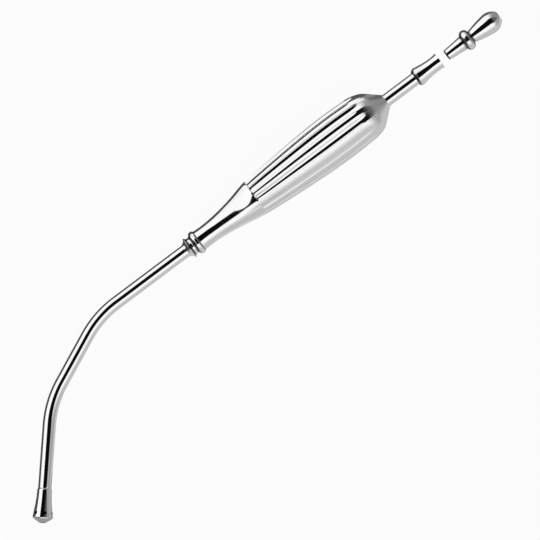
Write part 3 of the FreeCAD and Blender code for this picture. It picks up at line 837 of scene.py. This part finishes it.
def makeCone(sizes):
    rim, shoulder = (0, sizes["rim"]), (sizes["shoulderAt"], sizes["shoulderRadius"])
    middle = (sizes["shoulderAt"] / 2, (sizes["rim"] + sizes["shoulderRadius"]) / 2 + sizes["shoulderBulge"])
    lipStart = sizes["length"] - sizes["lipLength"]
    registerInner = sizes["registerRadius"] - sizes["wall"]
    corners = [
        shoulder, (lipStart, sizes["lipRadius"]), (sizes["length"], sizes["lipRadius"]),
        (sizes["length"], sizes["bore"]), (lipStart - sizes["wall"], sizes["bore"]), (0, registerInner),
        (-sizes["registerLength"], registerInner), (-sizes["registerLength"], sizes["registerRadius"]),
        (0, sizes["registerRadius"]), rim,
    ]
    runs = [straight(a, b, 0.8) for a, b in zip(corners, corners[1:])]
    outline = joined(arcThrough(rim, middle, shoulder, 18), *runs)
    material = steelMaterial("steelTurnedCone", lineSpacing=0.14, polish=0.26)
    piece = turnedPiece("endCone", outline, sizes, sizes["start"])
    return finishPiece(piece, material, "end_cone", "instrument")


cone = makeCone(coneSizes)


# Hose socket: a bead, a waisted body and a taper bore for the connector's stem
socketSizes = {
    "start": 129.1, "length": 13.7, "frontRadius": 3.5, "beadAt": 1.4, "beadRadius": 4.48, "beadBulge": 0.04,
    "bodyAt": 4.7, "bodyRadius": 3.96, "waistAt": 8.8, "waistRadius": 3.52, "mouthRadius": 3.83,
    "taperMouth": 3.36, "taperDepth": 9.7, "taperRate": 0.0854, "webBore": 2.1, "seatDepth": 3.6,
    "seatRadius": 3.04, "corner": 0.08, "columns": 160,
}


def makeSocket(sizes):
    front, bead = (0, sizes["frontRadius"]), (sizes["beadAt"], sizes["beadRadius"])
    middle = (sizes["beadAt"] / 2, (sizes["frontRadius"] + sizes["beadRadius"]) / 2 + sizes["beadBulge"])
    body = [bead, (sizes["bodyAt"], sizes["bodyRadius"]), (sizes["waistAt"], sizes["waistRadius"]),
            (sizes["length"], sizes["mouthRadius"])]
    floorAt = sizes["length"] - sizes["taperDepth"]
    corners = [
        body[-1], (sizes["length"], sizes["taperMouth"]),
        (floorAt, sizes["taperMouth"] - sizes["taperRate"] * sizes["taperDepth"]), (floorAt, sizes["webBore"]),
        (sizes["seatDepth"], sizes["webBore"]), (sizes["seatDepth"], sizes["seatRadius"]),
        (0, sizes["seatRadius"]), front,
    ]
    runs = [straight(a, b, 1.0) for a, b in zip(corners, corners[1:])]
    outline = joined(smoothThrough([front, middle, bead], 22), smoothThrough(body, 60), *runs)
    # Painted shade darkens a band at the socket's front
    material = steelMaterial("steelTurnedSocket", lineSpacing=0.12, paintedShadeBands=[(128.6, 130.3)])
    piece = turnedPiece("hoseSocket", outline, sizes, sizes["start"])
    return finishPiece(piece, material, "hose_socket", "instrument")


socket = makeSocket(socketSizes)


# Hose connector: stem, ring, neck and olive turned from one bar, with a bore through it
connectorSizes = {
    "start": 146.6, "length": 29.6, "bore": 1.9, "stemEnd": 2.5, "stemRoot": 3.32, "stemLength": 9.6,
    "stemRounding": 0.3, "stemShoulder": 0.1, "ringAt": 11.2, "ringRadius": 4.9, "neckAt": 13.9,
    "neckRadius": 2.85, "flankAt": 17.8, "flankRadius": 3.83, "landAt": 23.7, "landLength": 1.2,
    "oliveRadius": 4.85, "noseAt": 28.0, "noseRadius": 3.75, "endRadius": 2.3, "corner": 0.1, "columns": 192,
}


def makeConnector(sizes):
    stem = [(0, sizes["stemEnd"] - sizes["stemRounding"]), (sizes["stemRounding"], sizes["stemEnd"]),
            (sizes["stemLength"], sizes["stemRoot"])]
    ringStart = (sizes["stemLength"], sizes["stemRoot"] + sizes["stemShoulder"])
    neck = (sizes["neckAt"], sizes["neckRadius"])
    land = [(sizes["landAt"], sizes["oliveRadius"]), (sizes["landAt"] + sizes["landLength"], sizes["oliveRadius"])]
    end = [(sizes["length"], sizes["endRadius"]), (sizes["length"], sizes["bore"]), (0, sizes["bore"])]
    outline = joined(
        straight(stem[0], stem[1]), straight(stem[1], stem[2], 0.8), straight(stem[2], ringStart),
        arcThrough(ringStart, (sizes["ringAt"], sizes["ringRadius"]), neck, 44),
        smoothThrough([neck, (sizes["flankAt"], sizes["flankRadius"]), land[0]], 48),
        straight(*land),
        smoothThrough([land[1], (sizes["noseAt"], sizes["noseRadius"]), end[0]], 40),
        straight(end[0], end[1]), straight(end[1], end[2], 1.5), straight(end[2], stem[0]),
    )
    # Painted shade darkens the stem's end, the foot of the ring and the neck
    paintedShadeBands = [(145.9, 147.4), (155.3, 157.2), (159.3, 161.4)]
    material = steelMaterial("steelTurnedConnector", lineSpacing=0.12, paintedShadeBands=paintedShadeBands)
    piece = turnedPiece("hoseConnector", outline, sizes, sizes["start"])
    return finishPiece(piece, material, "hose_connector", "connector")


connector = makeConnector(connectorSizes)


# Camera: square on to the handle, nearly overhead, through a long lens
cameraSizes = {
    "distance": 2.0, "width": 0.243, "sensor": 36.0, "roll": -4.6, "handleSlope": 36.84,
    "collarRight": -0.037935, "collarUp": 0.00864,
}


def makeCamera(sizes):
    roll = math.radians(sizes["roll"])
    along = lieTurn @ Vector((1, 0, 0))
    back = lieTurn @ Vector((0, math.sin(roll), math.cos(roll)))
    across = back.cross(along)
    slope = math.radians(sizes["handleSlope"])
    right = along * math.cos(slope) - across * math.sin(slope)
    up = along * math.sin(slope) + across * math.cos(slope)
    target = lieStart - right * sizes["collarRight"] - up * sizes["collarUp"]
    camera = bpy.data.objects.new("camera", bpy.data.cameras.new("camera"))
    scene.collection.objects.link(camera)
    camera.data.sensor_width = sizes["sensor"]
    camera.data.lens = sizes["sensor"] * sizes["distance"] / sizes["width"]
    camera.data.clip_end = 50
    turn = Matrix((right, up, back)).transposed().to_4x4()
    camera.matrix_world = Matrix.Translation(target + back * sizes["distance"]) @ turn
    scene.camera = camera
    return back, along, across


lookBack, alongHandle, acrossHandle = makeCamera(cameraSizes)


# Light: two long white boxes beside the handle with a dark slot between them overhead. Angles are in
# degrees: round the handle from overhead, positive to the lower right, and along it, positive to the hose.
tentLook = {
    "white": 1.05, "slot": 0.003, "slotLeft": -42.0, "slotRight": 16.0, "slotBlur": 3.5,
    "rightWidens": [0.0, 30.0, 9.0], "leftNarrows": [4.0, 20.0, 20.0], "leftCloses": [21.5, 27.5, 32.0],
    "leftOpens": [32.0, 38.0], "slotArmEnd": [34.0, 42.0, 0.02],
    "armDark": [44.0, 64.0, 0.05], "slotHoseEnd": [20.0, 50.0, 0.14], "leftHoseEnd": [10.0, 44.0, 0.3],
    "rightHoseEnd": [14.0, 44.0, 0.37], "rightLow": [40.0, 76.0, 0.57], "poleHoseEnd": [56.0, 82.0, 0.27],
    "armShare": 0.6, "background": 1.0,
}


def makeTent(look):
    world = bpy.data.worlds.new("tent")
    scene.world = world
    world.use_nodes = True
    tree = world.node_tree
    tree.nodes.clear()
    way = addNode(tree, "ShaderNodeTexCoord").outputs["Generated"]

    def towards(direction):
        dot = addNode(tree, "ShaderNodeVectorMath", {0: way, 1: tuple(direction)}, operation="DOT_PRODUCT")
        return dot.outputs["Value"]

    def blend(share, first, second):
        mix = addNode(tree, "ShaderNodeMix", data_type="FLOAT")
        for number, value in ((0, share), (2, first), (3, second)):
            setOrLink(tree, mix.inputs[number], value)
        return mix.outputs[0]

    def fades(angle, light, setting):
        return blend(rampOf(tree, angle, setting[0], setting[1]), light, setting[2])

    def steadily(angle, setting):
        # Grows in a straight line from nothing to the last value between the first two
        start, end, most = setting
        inputs = {"Value": angle, "From Min": start, "From Max": end, "To Min": 0.0, "To Max": most}
        return addNode(tree, "ShaderNodeMapRange", inputs).outputs[0]

    around = calc(tree, "DEGREES", calc(tree, "ARCTAN2", towards(-acrossHandle), towards(lookBack)))
    toHose = calc(tree, "DEGREES", calc(tree, "ARCSINE", towards(alongHandle)))
    toArm = calc(tree, "MULTIPLY", toHose, -1.0)
    armWider = calc(tree, "MULTIPLY", steadily(toArm, look["rightWidens"]), look["armShare"])
    wider = calc(tree, "ADD", steadily(toHose, look["rightWidens"]), armWider)
    rightEdge = calc(tree, "ADD", wider, look["slotRight"])
    narrower = calc(tree, "ADD", steadily(toArm, look["leftNarrows"]), steadily(toArm, look["leftCloses"]))
    narrower = calc(tree, "MULTIPLY", narrower, rampOf(tree, toArm, *look["leftOpens"], 1.0, 0.0))
    leftEdge = calc(tree, "ADD", narrower, look["slotLeft"])
    pastLeft = rampOf(tree, calc(tree, "SUBTRACT", around, leftEdge), -look["slotBlur"], look["slotBlur"])
    pastRight = rampOf(tree, calc(tree, "SUBTRACT", around, rightEdge), -look["slotBlur"], look["slotBlur"])
    slot = fades(toArm, fades(toHose, look["slot"], look["slotHoseEnd"]), look["slotArmEnd"])
    left = fades(toHose, look["white"], look["leftHoseEnd"])
    right = fades(toHose, fades(around, look["white"], look["rightLow"]), look["rightHoseEnd"])
    light = fades(toHose, blend(pastRight, blend(pastLeft, left, slot), right), look["poleHoseEnd"])
    light = fades(toArm, light, look["armDark"])
    tent = addNode(tree, "ShaderNodeBackground", {"Color": (1, 1, 1, 1), "Strength": light})
    plain = addNode(tree, "ShaderNodeBackground", {"Color": (1, 1, 1, 1), "Strength": look["background"]})
    seen = addNode(tree, "ShaderNodeLightPath").outputs["Is Camera Ray"]
    mix = addNode(tree, "ShaderNodeMixShader", {0: seen, 1: tent.outputs[0], 2: plain.outputs[0]})
    tree.links.new(mix.outputs[0], addNode(tree, "ShaderNodeOutputWorld").inputs[0])


makeTent(tentLook)

floorLook = {"size": 4.0, "colour": (0.93, 0.93, 0.93, 1), "share": 0.95, "level": 1.0}


def stagePlane(name, corners, material):
    mesh = bpy.data.meshes.new(name)
    mesh.from_pydata(corners, [], [tuple(range(len(corners)))])
    mesh.materials.append(material)
    plane = newObject(name, mesh)
    return plane


def makeFloor(look):
    half = look["size"] / 2
    material, tree = clearMaterial("floorPaper")
    paper = addNode(tree, "ShaderNodeBsdfDiffuse", {"Color": look["colour"]}).outputs[0]
    bright = addNode(tree, "ShaderNodeEmission", {"Color": (1, 1, 1, 1), "Strength": look["level"]}).outputs[0]
    path = addNode(tree, "ShaderNodeLightPath").outputs
    bounced = calc(tree, "MAXIMUM", path["Is Glossy Ray"], path["Is Transmission Ray"])
    seen = calc(tree, "MAXIMUM", path["Is Camera Ray"], bounced)
    mix = addNode(tree, "ShaderNodeMixShader", {0: calc(tree, "MULTIPLY", seen, look["share"]), 1: paper, 2: bright})
    tree.links.new(mix.outputs[0], addNode(tree, "ShaderNodeOutputMaterial").inputs[0])
    stagePlane("floor", [(-half, -half, 0), (half, -half, 0), (half, half, 0), (-half, half, 0)], material)


makeFloor(floorLook)

# Flat cards, seen only in the instrument's own reflections, each as its tone, its height in metres and
# its corners in the instrument's own millimetres. Most lie on the floor, and higher ones cover lower
# ones. The last hangs overhead and gives the connector its wide black band.
armLine = [(-138, -75), (-89.3, -18.3), (-49.2, 0), (0, 0)]
cardLook = {
    "cardArm": (0.06, 0.00010, [(-8, 0), (-1500, 1500), (-1500, -1500)]),
    "cardTip": (0.33, 0.00033, [(-120, -54), (457, -1331), (-1033, -1117), (-1468, 324)]),
    "cardHose": (0.25, 0.00015, [(112, 0), (1500, 0), (1500, 1388)]),
    "cardGrey": (0.56, 0.00020, [(-1050, -1137)] + armLine + [(1500, 0), (1500, -1500), (-1050, -1500)]),
    "cardArmGrey": (0.36, 0.00025, [(-138, -75), (-108, -40), (600, -1400), (-1050, -1500), (-1050, -1137)]),
    "cardStreak": (0.74, 0.00028, [(14, -12), (103, -15.5), (103, -25), (14, -18)]),
    "cardDark": (0.08, 0.00030, armLine + [(190, 0), (190, 80), (100, 60), (44, 46), (34, 26), (21, 28),
                                           (14, 42), (4, 45), (-60, 50), (-191, -29)]),
    "cardCone": (0.25, 0.00032, [(112, 6.5), (150, 37), (400, 240), (400, 385), (150, 60), (112, 10.5)]),
    "cardUnder": (0.15, 0.00035, [(144, 0), (182, 0), (182, -17), (144, -17)]),
    "cardShade": (0.003, 0.14, [(58, -30), (151, -30), (151, 104), (58, 104)]),
}


def floorPoint(x, y, height):
    spot = toFloor @ Vector((x, y, 0))
    return (spot.x, spot.y, height)


def makeCards(look):
    for name, (tone, height, corners) in look.items():
        material, tree = clearMaterial(name)
        flat = addNode(tree, "ShaderNodeEmission", {"Color": (1, 1, 1, 1), "Strength": tone}).outputs[0]
        tree.links.new(flat, addNode(tree, "ShaderNodeOutputMaterial").inputs[0])
        card = stagePlane(name, [floorPoint(x, y, height) for x, y in corners], material)
        card.visible_camera = card.visible_diffuse = card.visible_shadow = card.visible_transmission = False


makeCards(cardLook)
scene.view_settings.view_transform = "Standard"
print("stage ready")
